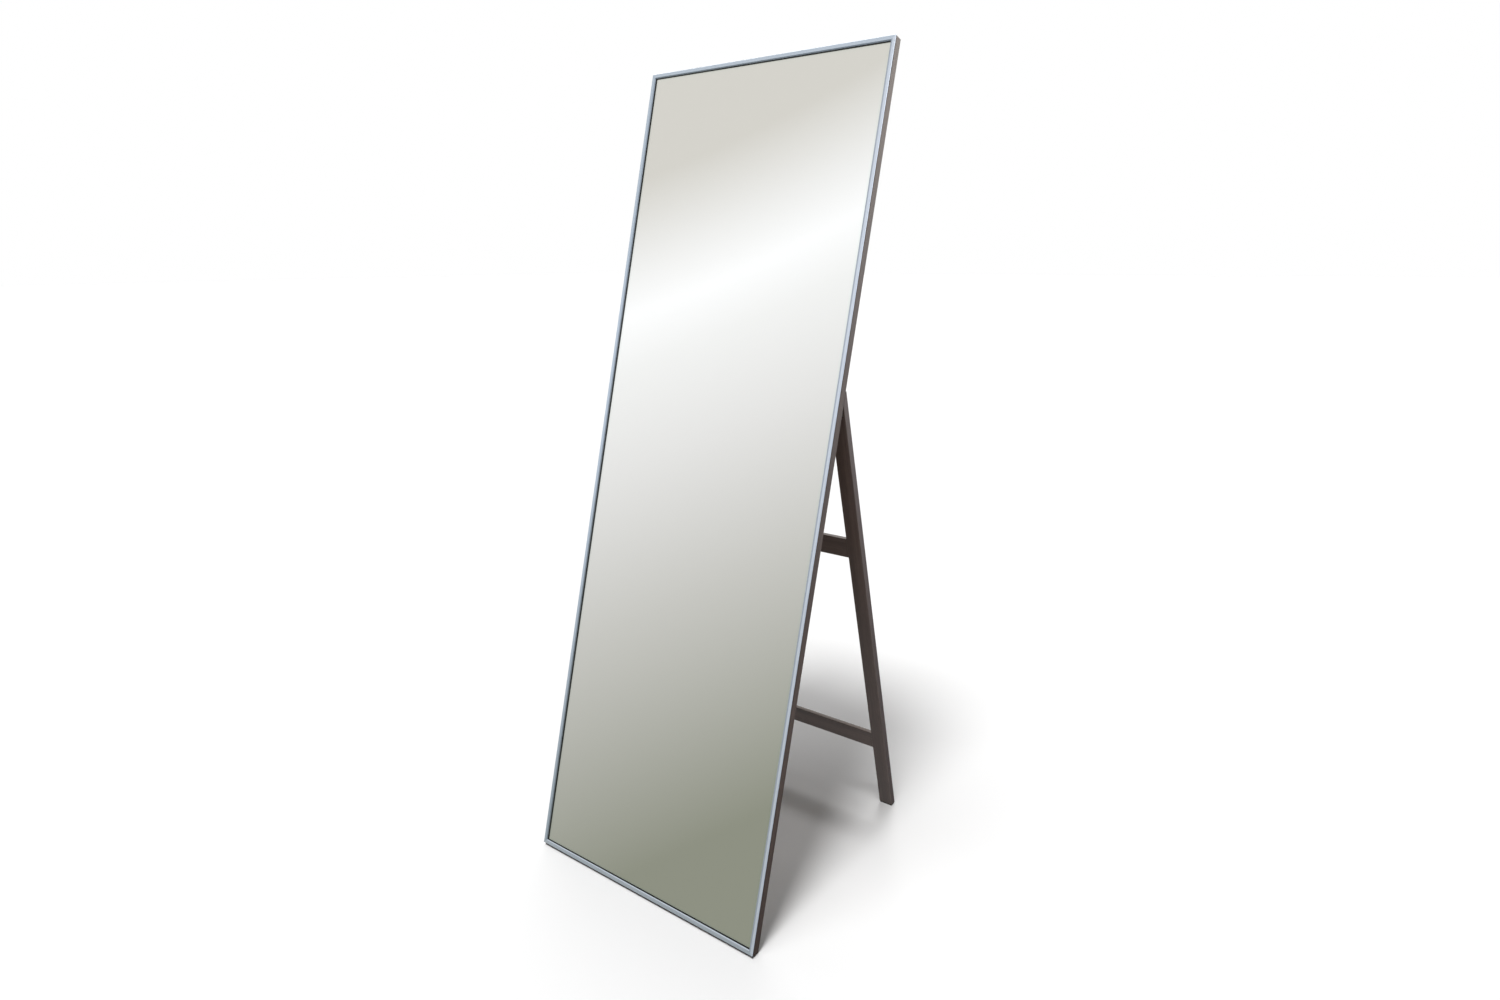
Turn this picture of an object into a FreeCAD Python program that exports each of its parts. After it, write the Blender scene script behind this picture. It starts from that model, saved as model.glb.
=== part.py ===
import FreeCAD, Part
import os
import re
import Sketcher

# A floor mirror: a slim framed mirror that leans back on its own folding ladder stand.
# Millimetres. +X to the right seen from the front, +Y to the back, +Z up, floor at Z = 0.

driving_sizes = (
    # outline of the framed mirror and how it stands
    ("frame_height", "1600"),
    ("frame_width", "540"),
    ("frame_depth", "20"),
    ("lean_angle", "15.5"),
    ("stand_angle", "31"),
    ("hinge_height", "978"),
    # wooden frame bars
    ("outer_wall", "6"),
    ("shadow_groove", "1.6"),
    ("edge_chamfer", "0.8"),
    ("overcut", "5"),
    # loose keys across the mitres
    ("key_size", "20"),
    ("key_thickness", "3"),
    ("key_inset", "10"),
    ("key_clearance", "0.1"),
    # metal face trims, each with a fin pressed into a kerf of its bar
    ("trim_width", "8.5"),
    ("trim_thickness", "2"),
    ("trim_chamfer", "0.6"),
    ("trim_bevel", "1.5"),
    ("fin_inset", "3"),
    ("fin_thickness", "1"),
    ("fin_depth", "4"),
    ("fin_clearance", "0.1"),
    # mirror glass on its mounting tape
    ("glass_thickness", "4"),
    ("glass_clearance", "1"),
    ("tape_thickness", "1"),
    ("tape_width", "12"),
    ("tape_inset", "4"),
    ("tape_break", "3"),
    # hardboard back and its pan head screws
    ("board_thickness", "3"),
    ("board_overlap", "10"),
    ("board_clearance", "0.5"),
    ("board_screw_radius", "1.2"),
    ("board_screw_head_radius", "2.6"),
    ("board_screw_head_height", "1.6"),
    ("side_screw_count", "7"),
    ("side_screw_margin", "80"),
    ("end_screw_count", "3"),
    ("end_screw_margin", "135"),
    # butt hinges, let into the frame and the legs
    ("hinge_side_wall", "4"),
    ("leaf_height", "20"),
    ("leaf_thickness", "1.4"),
    ("leaf_clearance", "0.3"),
    ("knuckle_radius", "2.6"),
    ("knuckle_room", "0.5"),
    ("middle_knuckle", "7.4"),
    ("knuckle_gap", "0.2"),
    ("pin_radius", "1.25"),
    ("pin_clearance", "0.05"),
    ("pin_head_radius", "2"),
    ("pin_head_height", "0.8"),
    ("fold_gap", "0.6"),
    ("hinge_screw_radius", "1.4"),
    ("hinge_screw_margin", "4.5"),
    ("countersink_margin", "0.2"),
    # all screws
    ("screw_clearance", "0.05"),
    ("screw_cover", "3"),
    ("screw_point", "2.5"),
    ("recess_width", "0.7"),
    ("recess_span", "2.6"),
    ("recess_depth", "0.9"),
    # ladder stand
    ("leg_width", "30"),
    ("leg_thickness", "15"),
    ("leg_round", "1"),
    ("nose_flat", "4"),
    ("stop_clearance", "0.1"),
    ("rail_height", "42"),
    ("rail_thickness", "8"),
    ("rail_chamfer", "0.8"),
    ("upper_rail_drop", "279"),
    ("lower_rail_rise", "160"),
    ("tenon_length", "12"),
    ("tenon_shoulder", "4"),
    ("tenon_clearance", "0.1"),
    # rubber pads on the floor
    ("foot_pad_thickness", "3"),
    ("foot_pad_inset", "1"),
    ("base_pad_lift", "1.5"),
    ("base_pad_length", "40"),
    ("base_pad_from_side", "60"),
    ("base_pad_width", "11"),
    ("base_pad_setback", "2"),
)

# Lengths that follow from the driving sizes. Y and Z in the mirror's upright frame have their
# zero at the front bottom edge; in the stand's frame they start at the hinge pin.
derived = {
    "bar_width": "leg_width + board_overlap",
    "glass_seat": "trim_thickness + glass_thickness + tape_thickness",
    "board_seat": "frame_depth - board_thickness",
    "glass_edge": "outer_wall + glass_clearance",
    "board_edge": "bar_width - board_overlap + board_clearance",
    "board_screw_line": "bar_width - board_overlap / 2",
    "board_screw_length": "board_thickness + board_seat - glass_seat - screw_cover",
    "key_middle": "(glass_seat + board_seat) / 2",
    "leg_middle": "frame_width / 2 - leg_width / 2",
    "leg_turn": "stand_angle - lean_angle",
    "leg_front": "fold_gap / 2",
    "leg_back": "leg_front + leg_thickness",
    "pin_level": "base_pad_lift + hinge_height * cos(lean_angle) - leg_front * sin(lean_angle)",
    "pin_reach": "(frame_depth + leg_front) * cos(lean_angle) + hinge_height * sin(lean_angle)",
    "foot_drop": "(pin_level - foot_pad_thickness) * tan(leg_turn)",
    "foot_front": "pin_reach + leg_front / cos(leg_turn) + foot_drop",
    "foot_back": "pin_reach + leg_back / cos(leg_turn) + foot_drop",
    "depth_middle": "(foot_back + trim_chamfer * sin(lean_angle)) / 2",
    "nose_level": "(leg_back * cos(stand_angle) + leg_front - stop_clearance) / sin(stand_angle) - nose_flat",
    "hinge_length": "leg_width - 2 * hinge_side_wall",
    "hinge_end": "hinge_length / 2",
    "hinge_screw_out": "hinge_end - hinge_screw_margin",
    "hinge_screw_drop": "(leaf_height - leaf_top) / 2",
    "hinge_screw_head_radius": "hinge_screw_radius + leaf_thickness - countersink_margin",
    "frame_screw_length": "frame_depth - glass_seat - screw_cover",
    "leg_screw_length": "leg_thickness - screw_cover",
    "knuckle_end": "middle_knuckle / 2",
    "leaf_top": "-(knuckle_radius + leaf_clearance)",
    "leaf_middle": "leg_front + leaf_thickness / 2",
    "pin_shoulder": "hinge_end + knuckle_gap / 2",
    "rail_middle": "leg_front + leg_thickness / 2",
    "rail_half": "frame_width / 2 - leg_width",
    "leg_length": "(pin_level - foot_pad_thickness) / cos(leg_turn)",
    "lower_rail_drop": "leg_length - lower_rail_rise - rail_height",
    "base_pad_back": "frame_depth - base_pad_setback",
    "base_pad_front": "base_pad_back - base_pad_width",
}

document = FreeCAD.newDocument("floor_mirror")
sheet = document.addObject("Spreadsheet::Sheet", "sizes")
for row, (size_name, size_value) in enumerate(driving_sizes, 1):
    sheet.set(f"A{row}", size_name)
    sheet.set(f"B{row}", size_value)
    sheet.setAlias(f"B{row}", size_name)
document.recompute()
alias_names = {size_name for size_name, _ in driving_sizes}
subparts = []


def formula(text):
    """Write derived names out and point every size at its cell in the sheet."""
    def resolve(match):
        word = match.group(0)
        if word in derived:
            return f"({formula(derived[word])})"
        return f"sizes.{word}" if word in alias_names else word
    return re.sub(r"[a-z_]+", resolve, text)


def value(text):
    return float(sheet.evalExpression(formula(text)))


def vector(across, back, up):
    return FreeCAD.Vector(value(across), value(back), value(up))


def turned(axis, angle):
    return FreeCAD.Rotation(FreeCAD.Vector(*axis), angle)


def origin_feature(body, role):
    return next(feature for feature in body.Origin.OriginFeatures if feature.Role == role)


def new_body(label):
    body = document.addObject("PartDesign::Body", label)
    body.Label = label
    return body


def new_sketch(body, role, offset):
    """A sketch on an origin plane, moved along that plane's normal."""
    sketch = body.newObject("Sketcher::SketchObject", f"{body.Name}_sketch")
    sketch.AttachmentSupport = [(origin_feature(body, role), "")]
    sketch.MapMode = "FlatFace"
    sketch.setExpression("AttachmentOffset.Base.z", formula(offset))
    return sketch


def fix_point(sketch, geometry, corner, across, up):
    for kind, text in (("DistanceX", across), ("DistanceY", up)):
        index = sketch.addConstraint(Sketcher.Constraint(kind, -1, 1, geometry, corner, value(text)))
        sketch.setExpression(f"Constraints[{index}]", formula(text))


def draw_outline(sketch, points):
    """A closed run of straight lines whose corners are bound to the sheet."""
    first = sketch.GeometryCount
    places = [FreeCAD.Vector(value(across), value(up), 0) for across, up in points]
    for start, end in zip(places, places[1:] + places[:1]):
        sketch.addGeometry(Part.LineSegment(start, end), False)
    for index in range(len(points)):
        following = first + (index + 1) % len(points)
        sketch.addConstraint(Sketcher.Constraint("Coincident", first + index, 2, following, 1))
    for index, (across, up) in enumerate(points):
        fix_point(sketch, first + index, 1, across, up)


def draw_circle(sketch, across, up, radius):
    middle = FreeCAD.Vector(value(across), value(up), 0)
    circle = Part.Circle(middle, FreeCAD.Vector(0, 0, 1), value(radius))
    geometry = sketch.addGeometry(circle, False)
    fix_point(sketch, geometry, 3, across, up)
    index = sketch.addConstraint(Sketcher.Constraint("Radius", geometry, value(radius)))
    sketch.setExpression(f"Constraints[{index}]", formula(radius))


def rectangle(left, bottom, right, top):
    return [(left, bottom), (right, bottom), (right, top), (left, top)]


def pad(body, sketch, length, both_ways=True):
    feature = body.newObject("PartDesign::Pad", f"{body.Name}_pad")
    feature.Profile = sketch
    feature.SideType = "Symmetric" if both_ways else "One side"
    feature.setExpression("Length", formula(length))
    document.recompute()


def cut(body, sketch, length):
    """Cut the same depth to both sides of the sketch."""
    feature = body.newObject("PartDesign::Pocket", f"{body.Name}_cut")
    feature.Profile = sketch
    feature.SideType = "Symmetric"
    feature.setExpression("Length", formula(length))
    document.recompute()


def long_edges(body, direction, least):
    """Names of the straight edges that run along a direction for at least a length."""
    names = []
    for number, edge in enumerate(body.Shape.Edges, 1):
        run = edge.Vertexes[-1].Point - edge.Vertexes[0].Point
        if run.Length > least and abs(run.dot(FreeCAD.Vector(*direction))) > 0.999 * run.Length:
            names.append(f"Edge{number}")
    return names


def ease_edges(body, kind, size_property, size_name, edges):
    base = body.Tip
    feature = body.newObject(f"PartDesign::{kind}", f"{body.Name}_{kind.lower()}")
    feature.Base = (base, edges)
    feature.setExpression(size_property, formula(size_name))
    document.recompute()


def hand_over(piece, placement):
    piece.Placement = placement
    subparts.append(piece)


def spaced(count_name, margin, length):
    """Formulas for evenly spaced places between two end margins."""
    count = int(value(count_name))
    return [f"{margin} + {index} * ({length} - 2 * {margin}) / ({count_name} - 1)" for index in range(count)]


# The mirror leans back about its bottom; the stand swings about the hinge pins.
mirror_place = FreeCAD.Placement(
    vector("0", "-depth_middle", "frame_depth * sin(lean_angle) + base_pad_lift"),
    turned((1, 0, 0), -value("lean_angle")))
pin_point = mirror_place.multVec(vector("0", "frame_depth + leg_front", "hinge_height"))
stand_place = FreeCAD.Placement(pin_point, turned((1, 0, 0), value("leg_turn")))
hinge_place = FreeCAD.Placement(pin_point, mirror_place.Rotation)
sides = {"left": -1, "right": 1}


def shifted(place, across, back="0", up="0", rotation=None):
    local = FreeCAD.Placement(vector(across, back, up), rotation or FreeCAD.Rotation())
    return place.multiply(local)


# Bars lie along their own Z, outer side at X = 0 and front at Y = 0. These turns and starts
# lay them round the frame, each with its outer side outwards.
bar_places = {
    "left": ("frame_height", shifted(mirror_place, "-frame_width / 2")),
    "right": ("frame_height", shifted(mirror_place, "frame_width / 2", "0", "frame_height",
                                      turned((0, 1, 0), 180))),
    "bottom": ("frame_width", shifted(mirror_place, "frame_width / 2", "0", "0",
                                      turned((0, 1, 0), -90))),
    "top": ("frame_width", shifted(mirror_place, "-frame_width / 2", "0", "frame_height",
                                   turned((0, 1, 0), 90))),
}


def mitred_bar(label, section, width, length):
    """A bar of constant section, cut at 45 degrees at both ends."""
    body = new_body(label)
    sketch = new_sketch(body, "XY_Plane", "0")
    draw_outline(sketch, section)
    pad(body, sketch, length, both_ways=False)
    mitres = new_sketch(body, "XZ_Plane", "0")
    far = f"{width} + overcut"
    draw_outline(mitres, [("-overcut", "-overcut"), (far, "-overcut"), (far, far)])
    draw_outline(mitres, [("-overcut", f"{length} + overcut"), (far, f"{length} - {width} - overcut"),
                          (far, f"{length} + overcut")])
    cut(body, mitres, "4 * frame_depth")
    return body


frame_section = [
    ("0", "trim_thickness + shadow_groove"),
    ("shadow_groove", "trim_thickness + shadow_groove"),
    ("shadow_groove", "trim_thickness"),
    ("fin_inset - fin_clearance", "trim_thickness"),
    ("fin_inset - fin_clearance", "trim_thickness + fin_depth + fin_clearance"),
    ("fin_inset + fin_thickness + fin_clearance", "trim_thickness + fin_depth + fin_clearance"),
    ("fin_inset + fin_thickness + fin_clearance", "trim_thickness"),
    ("outer_wall", "trim_thickness"),
    ("outer_wall", "glass_seat"),
    ("bar_width", "glass_seat"),
    ("bar_width", "board_seat"),
    ("bar_width - board_overlap", "board_seat"),
    ("bar_width - board_overlap", "frame_depth"),
    ("edge_chamfer", "frame_depth"),
    ("0", "frame_depth - edge_chamfer"),
]

trim_section = [
    ("0", "trim_thickness"),
    ("0", "trim_chamfer"),
    ("trim_chamfer", "0"),
    ("trim_width - trim_bevel", "0"),
    ("trim_width", "trim_bevel"),
    ("trim_width", "trim_thickness"),
    ("fin_inset + fin_thickness", "trim_thickness"),
    ("fin_inset + fin_thickness", "trim_thickness + fin_depth"),
    ("fin_inset", "trim_thickness + fin_depth"),
    ("fin_inset", "trim_thickness"),
]


def cut_key_slots(body, length):
    """Half of a square slot at each mitre, for the loose key."""
    sketch = new_sketch(body, "XZ_Plane", "-key_middle")
    near = "key_inset - key_clearance"
    far = "key_inset + key_size + key_clearance"
    draw_outline(sketch, rectangle(near, near, far, far))
    draw_outline(sketch, rectangle(near, f"{length} - ({far})", far, f"{length} - ({near})"))
    cut(body, sketch, "key_thickness + 2 * key_clearance")


def cut_board_pilots(body, places):
    sketch = new_sketch(body, "XZ_Plane", "-board_seat")
    for place in places:
        draw_circle(sketch, "board_screw_line", place, "board_screw_radius + screw_clearance")
    cut(body, sketch, "2 * (board_screw_length - board_thickness + screw_clearance)")


def cut_hinge_seat(body, middle, face, pin_back, pin_up, downwards, screw_length):
    """Leaf recess, knuckle groove and pilot holes; the face is a plane of constant Y."""
    half = "hinge_end + leaf_clearance"
    leaf_end = f"{pin_up} + ({downwards}) * (leaf_height + leaf_clearance)"
    recess = new_sketch(body, "XZ_Plane", f"-({face})")
    draw_outline(recess, rectangle(f"{middle} - ({half})", pin_up, f"{middle} + {half}", leaf_end))
    cut(body, recess, "2 * leaf_thickness")
    groove = new_sketch(body, "YZ_Plane", middle)
    draw_circle(groove, pin_back, pin_up, "knuckle_radius + knuckle_room")
    cut(body, groove, "2 * (pin_shoulder + pin_head_height + knuckle_room)")
    pilots = new_sketch(body, "XZ_Plane", f"-({face})")
    for way in ("-", "+"):
        draw_circle(pilots, f"{middle} {way} hinge_screw_out",
                    f"{pin_up} + ({downwards}) * hinge_screw_drop", "hinge_screw_radius + screw_clearance")
    cut(body, pilots, f"2 * ({screw_length} + screw_clearance)")


def make_frame():
    """Four mitred wooden bars; the two stiles also take the hinges."""
    names = {"left": "left_stile", "right": "right_stile", "top": "top_bar", "bottom": "bottom_bar"}
    for side, (length, place) in bar_places.items():
        body = mitred_bar(names[side], frame_section, "bar_width", length)
        cut_key_slots(body, length)
        if side in sides:
            cut_board_pilots(body, spaced("side_screw_count", "side_screw_margin", length))
            pin_up = "hinge_height" if side == "left" else "frame_height - hinge_height"
            cut_hinge_seat(body, "leg_width / 2", "frame_depth", "frame_depth + leg_front", pin_up,
                           "-1" if side == "left" else "1", "frame_screw_length")
        else:
            cut_board_pilots(body, spaced("end_screw_count", "end_screw_margin", length))
        hand_over(body, place)


def make_trims():
    for side, (length, place) in bar_places.items():
        hand_over(mitred_bar(f"{side}_trim", trim_section, "trim_width", length), place)


def bound_box(name, length, width, height, corner):
    box = document.addObject("Part::Box", name)
    box.setExpression("Length", formula(length))
    box.setExpression("Width", formula(width))
    box.setExpression("Height", formula(height))
    for axis, text in zip("xyz", corner):
        box.setExpression(f"Placement.Base.{axis}", formula(text))
    return box


def make_group(label, members, place):
    group = document.addObject("Part::Compound", label)
    group.Label = label
    group.Links = members
    document.recompute()
    hand_over(group, place)


def make_corner_keys():
    keys = []
    back = "key_middle - key_thickness / 2"
    for across in ("key_inset - frame_width / 2", "frame_width / 2 - key_inset - key_size"):
        for up in ("key_inset", "frame_height - key_inset - key_size"):
            keys.append(bound_box("corner_key", "key_size", "key_thickness", "key_size", (across, back, up)))
    make_group("corner_keys", keys, mirror_place)


def make_glass():
    glass = document.addObject("Part::Box", "mirror_glass")
    glass.setExpression("Length", formula("frame_width - 2 * glass_edge"))
    glass.setExpression("Width", formula("glass_thickness"))
    glass.setExpression("Height", formula("frame_height - 2 * glass_edge"))
    document.recompute()
    hand_over(glass, shifted(mirror_place, "glass_edge - frame_width / 2", "trim_thickness", "glass_edge"))


def make_tape():
    """Foam tape between the glass and the frame: two long strips and two short ones."""
    start = "glass_edge + tape_inset"
    back = "trim_thickness + glass_thickness"
    ends = f"{start} + tape_width + tape_break"
    strips = []
    for across in (f"{start} - frame_width / 2", f"frame_width / 2 - ({start}) - tape_width"):
        strips.append(bound_box("tape_strip", "tape_width", "tape_thickness",
                                f"frame_height - 2 * ({start})", (across, back, start)))
    for up in (start, f"frame_height - ({start}) - tape_width"):
        strips.append(bound_box("tape_strip", f"frame_width - 2 * ({ends})", "tape_thickness", "tape_width",
                                (f"{ends} - frame_width / 2", back, up)))
    make_group("mounting_tape", strips, mirror_place)


def board_screw_places():
    """Where the back is screwed on, as formulas across and up the mirror."""
    places = []
    for up in spaced("side_screw_count", "side_screw_margin", "frame_height"):
        places += [("board_screw_line - frame_width / 2", up), ("frame_width / 2 - board_screw_line", up)]
    for across in spaced("end_screw_count", "end_screw_margin", "frame_width"):
        places += [(f"{across} - frame_width / 2", "board_screw_line"),
                   (f"{across} - frame_width / 2", "frame_height - board_screw_line")]
    return places


def make_back_board():
    body = new_body("back_board")
    sketch = new_sketch(body, "XZ_Plane", "-(board_seat + board_thickness / 2)")
    draw_outline(sketch, rectangle("board_edge - frame_width / 2", "board_edge",
                                   "frame_width / 2 - board_edge", "frame_height - board_edge"))
    for across, up in board_screw_places():
        draw_circle(sketch, across, up, "board_screw_radius + screw_clearance")
    pad(body, sketch, "board_thickness")
    hand_over(body, mirror_place)


def turned_screw(name, profile, head_top):
    """A plain shanked screw along its own Z, point down, with a cross recess in its head."""
    body = document.addObject("PartDesign::Body", name)
    sketch = new_sketch(body, "XZ_Plane", "0")
    draw_outline(sketch, profile)
    turn = body.newObject("PartDesign::Revolution", f"{name}_turn")
    turn.Profile = sketch
    turn.ReferenceAxis = (origin_feature(body, "Z_Axis"), [""])
    document.recompute()
    recess = new_sketch(body, "XY_Plane", head_top)
    long, short = "recess_span / 2", "recess_width / 2"
    draw_outline(recess, [
        (f"-{long}", f"-{short}"), (f"-{short}", f"-{short}"), (f"-{short}", f"-{long}"),
        (short, f"-{long}"), (short, f"-{short}"), (long, f"-{short}"),
        (long, short), (short, short), (short, long),
        (f"-{short}", long), (f"-{short}", short), (f"-{long}", short)])
    cut(body, recess, "2 * recess_depth")
    return body


def make_screw_group(label, screw, places, place):
    """One node for a set of equal screws; each place is a point and a turn."""
    copies = []
    for point, rotation in places:
        copy = screw.Shape.copy()
        copy.Placement = FreeCAD.Placement(point, rotation)
        copies.append(copy)
    group = document.addObject("Part::Feature", label)
    group.Label = label
    group.Shape = Part.makeCompound(copies)
    hand_over(group, place)


def make_board_screws():
    head = "board_screw_head_height"
    screw = turned_screw("board_screw", [
        ("0", "-board_screw_length"), ("board_screw_radius", "-(board_screw_length - screw_point)"),
        ("board_screw_radius", "0"),
        ("board_screw_head_radius", "0"), ("board_screw_head_radius", f"{head} / 2"),
        (f"board_screw_head_radius - {head} / 2", head), ("0", head)], head)
    backwards = turned((1, 0, 0), -90)
    places = [(vector(across, "frame_depth", up), backwards) for across, up in board_screw_places()]
    make_screw_group("back_board_screws", screw, places, mirror_place)


def make_leaf(label, outline, plate_back, knuckle_length, faces_back):
    """A hinge leaf round the pin's own origin, hanging down from its knuckles."""
    body = new_body(label)
    plate = new_sketch(body, "XZ_Plane", f"-({plate_back})")
    draw_outline(plate, outline)
    pad(body, plate, "leaf_thickness")
    barrel = new_sketch(body, "YZ_Plane", "0")
    draw_circle(barrel, "0", "0", "knuckle_radius")
    pad(body, barrel, knuckle_length)
    if faces_back:
        middle = new_sketch(body, "YZ_Plane", "0")
        draw_circle(middle, "0", "0", "knuckle_radius + leaf_clearance / 2")
        cut(body, middle, "2 * (knuckle_end + knuckle_gap)")
    bore = new_sketch(body, "YZ_Plane", "0")
    draw_circle(bore, "0", "0", "pin_radius + pin_clearance")
    cut(body, bore, "2 * hinge_length")
    sink_screw_holes(body, "leg_front" if faces_back else "-leg_front", faces_back)
    return body


def sink_screw_holes(body, face_forward, faces_back):
    """Two countersunk holes, their wide ends on the face that closes on the other leaf."""
    sketch = new_sketch(body, "XZ_Plane", face_forward)
    for way in ("-", ""):
        draw_circle(sketch, f"{way}hinge_screw_out", "-hinge_screw_drop",
                    "hinge_screw_radius + screw_clearance")
    document.recompute()
    hole = body.newObject("PartDesign::Hole", f"{body.Name}_holes")
    hole.Profile = sketch
    hole.Reversed = faces_back
    hole.Threaded = False
    hole.DepthType = "ThroughAll"
    hole.setExpression("Diameter", formula("2 * (hinge_screw_radius + screw_clearance)"))
    hole.HoleCutType = "Countersink"
    hole.HoleCutCustomValues = True
    hole.setExpression("HoleCutDiameter", formula("2 * (hinge_screw_head_radius + screw_clearance)"))
    hole.HoleCutCountersinkAngle = 90
    document.recompute()


def make_hinges():
    """Two butt hinges: a leaf on the frame, a leaf on the leg and a headed pin each."""
    notch = "knuckle_end + knuckle_gap"
    frame_outline = [
        ("-hinge_end", "-leaf_height"), ("hinge_end", "-leaf_height"), ("hinge_end", "0"), (notch, "0"),
        (notch, "leaf_top"), (f"-({notch})", "leaf_top"), (f"-({notch})", "0"), ("-hinge_end", "0")]
    leg_outline = [
        ("-hinge_end", "-leaf_height"), ("hinge_end", "-leaf_height"), ("hinge_end", "leaf_top"),
        ("knuckle_end", "leaf_top"), ("knuckle_end", "0"), ("-knuckle_end", "0"),
        ("-knuckle_end", "leaf_top"), ("-hinge_end", "leaf_top")]
    for side, sign in sides.items():
        across = f"{sign} * leg_middle"
        frame_leaf = make_leaf(f"{side}_hinge_frame_leaf", frame_outline, "-leaf_middle",
                               "hinge_length", faces_back=True)
        hand_over(frame_leaf, shifted(hinge_place, across))
        leg_leaf = make_leaf(f"{side}_hinge_leg_leaf", leg_outline, "leaf_middle",
                             "middle_knuckle", faces_back=False)
        hand_over(leg_leaf, shifted(stand_place, across))
        hand_over(make_pin(f"{side}_hinge_pin"), shifted(hinge_place, across))


def make_pin(label):
    body = new_body(label)
    sketch = new_sketch(body, "XZ_Plane", "0")
    end = "pin_shoulder + pin_head_height"
    draw_outline(sketch, [
        (f"-({end})", "0"), (end, "0"), (end, "pin_head_radius"), ("pin_shoulder", "pin_head_radius"),
        ("pin_shoulder", "pin_radius"), ("-(pin_shoulder)", "pin_radius"),
        ("-(pin_shoulder)", "pin_head_radius"), (f"-({end})", "pin_head_radius")])
    turn = body.newObject("PartDesign::Revolution", f"{label}_turn")
    turn.Profile = sketch
    turn.ReferenceAxis = (origin_feature(body, "X_Axis"), [""])
    document.recompute()
    return body


def make_hinge_screws():
    """Countersunk screws, two to a leaf: into the frame from behind and into the legs from in front."""
    neck = "-(hinge_screw_head_radius - hinge_screw_radius)"
    groups = (("hinge_frame_screws", "frame_screw_length", "-leg_front", -90, hinge_place),
              ("hinge_leg_screws", "leg_screw_length", "leg_front", 90, stand_place))
    for label, length, face, angle, place in groups:
        screw = turned_screw(f"{label}_one", [
            ("0", f"-({length})"), ("hinge_screw_radius", f"-({length} - screw_point)"),
            ("hinge_screw_radius", neck), ("hinge_screw_head_radius", "0"), ("0", "0")], "0")
        points = []
        for sign in sides.values():
            for way in ("-", "+"):
                across = f"{sign} * leg_middle {way} hinge_screw_out"
                points.append((vector(across, face, "-hinge_screw_drop"), turned((1, 0, 0), angle)))
        make_screw_group(label, screw, points, place)


def make_legs():
    """Legs with a bevelled head that stops on the frame's back and a foot cut level with the floor."""
    nose_back = "leg_back - nose_flat * tan(stand_angle)"
    heel = "(leg_front * cos(stand_angle) + leg_front - stop_clearance) / sin(stand_angle)"

    def foot(back):
        return f"(foot_pad_thickness - pin_level - {back} * sin(leg_turn)) / cos(leg_turn)"
    outline = [("leg_front", foot("leg_front")), ("leg_back", foot("leg_back")), ("leg_back", "nose_level"),
               (nose_back, "nose_level"), ("leg_front", heel)]
    for side, sign in sides.items():
        body = new_body(f"{side}_leg")
        sketch = new_sketch(body, "YZ_Plane", "0")
        draw_outline(sketch, outline)
        pad(body, sketch, "leg_width")
        ease_edges(body, "Fillet", "Radius", "leg_round", long_edges(body, (0, 0, 1), value("leg_width")))
        cut_mortises(body, sign)
        cut_hinge_seat(body, "0", "leg_front", "0", "0", "-1", "leg_screw_length")
        hand_over(body, shifted(stand_place, f"{sign} * leg_middle"))


def cut_mortises(body, sign):
    """Blind mortises for the rails in the leg's inner side."""
    mouth = f"{-sign} * (leg_width / 2 + overcut)"
    bottom = f"{-sign} * (leg_width / 2 - tenon_length - tenon_clearance)"
    sketch = new_sketch(body, "XZ_Plane", "-(rail_middle)")
    for drop in ("upper_rail_drop", "lower_rail_drop"):
        top = f"-({drop} + tenon_shoulder - tenon_clearance)"
        low = f"-({drop} + rail_height - tenon_shoulder + tenon_clearance)"
        draw_outline(sketch, rectangle(mouth, low, bottom, top))
    cut(body, sketch, "rail_thickness + 2 * tenon_clearance")


def make_rails():
    """Two flat rails between the legs, with a shouldered tenon at each end."""
    inner, outer = "rail_half", "rail_half + tenon_length"
    for label, drop in (("upper_rail", "upper_rail_drop"), ("lower_rail", "lower_rail_drop")):
        top, low = f"-{drop}", f"-({drop} + rail_height)"
        tenon_top, tenon_low = f"{top} - tenon_shoulder", f"{low} + tenon_shoulder"
        body = new_body(label)
        sketch = new_sketch(body, "XZ_Plane", "-(rail_middle)")
        draw_outline(sketch, [
            (f"-({inner})", low), (inner, low), (inner, tenon_low), (outer, tenon_low), (outer, tenon_top),
            (inner, tenon_top), (inner, top), (f"-({inner})", top), (f"-({inner})", tenon_top),
            (f"-({outer})", tenon_top), (f"-({outer})", tenon_low), (f"-({inner})", tenon_low)])
        pad(body, sketch, "rail_thickness")
        ease_edges(body, "Chamfer", "Size", "rail_chamfer", long_edges(body, (1, 0, 0), value("rail_half")))
        hand_over(body, stand_place)


def make_foot_pads():
    for side, sign in sides.items():
        label = f"{side}_foot_pad"
        pad_box = document.addObject("Part::Box", label)
        pad_box.setExpression("Length", formula("leg_width - 2 * foot_pad_inset"))
        pad_box.setExpression("Width", formula("foot_back - foot_front - 2 * foot_pad_inset"))
        pad_box.setExpression("Height", formula("foot_pad_thickness"))
        document.recompute()
        corner = vector(f"{sign} * leg_middle - leg_width / 2 + foot_pad_inset",
                        "foot_front + foot_pad_inset - depth_middle", "0")
        hand_over(pad_box, FreeCAD.Placement(corner, FreeCAD.Rotation()))


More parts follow.
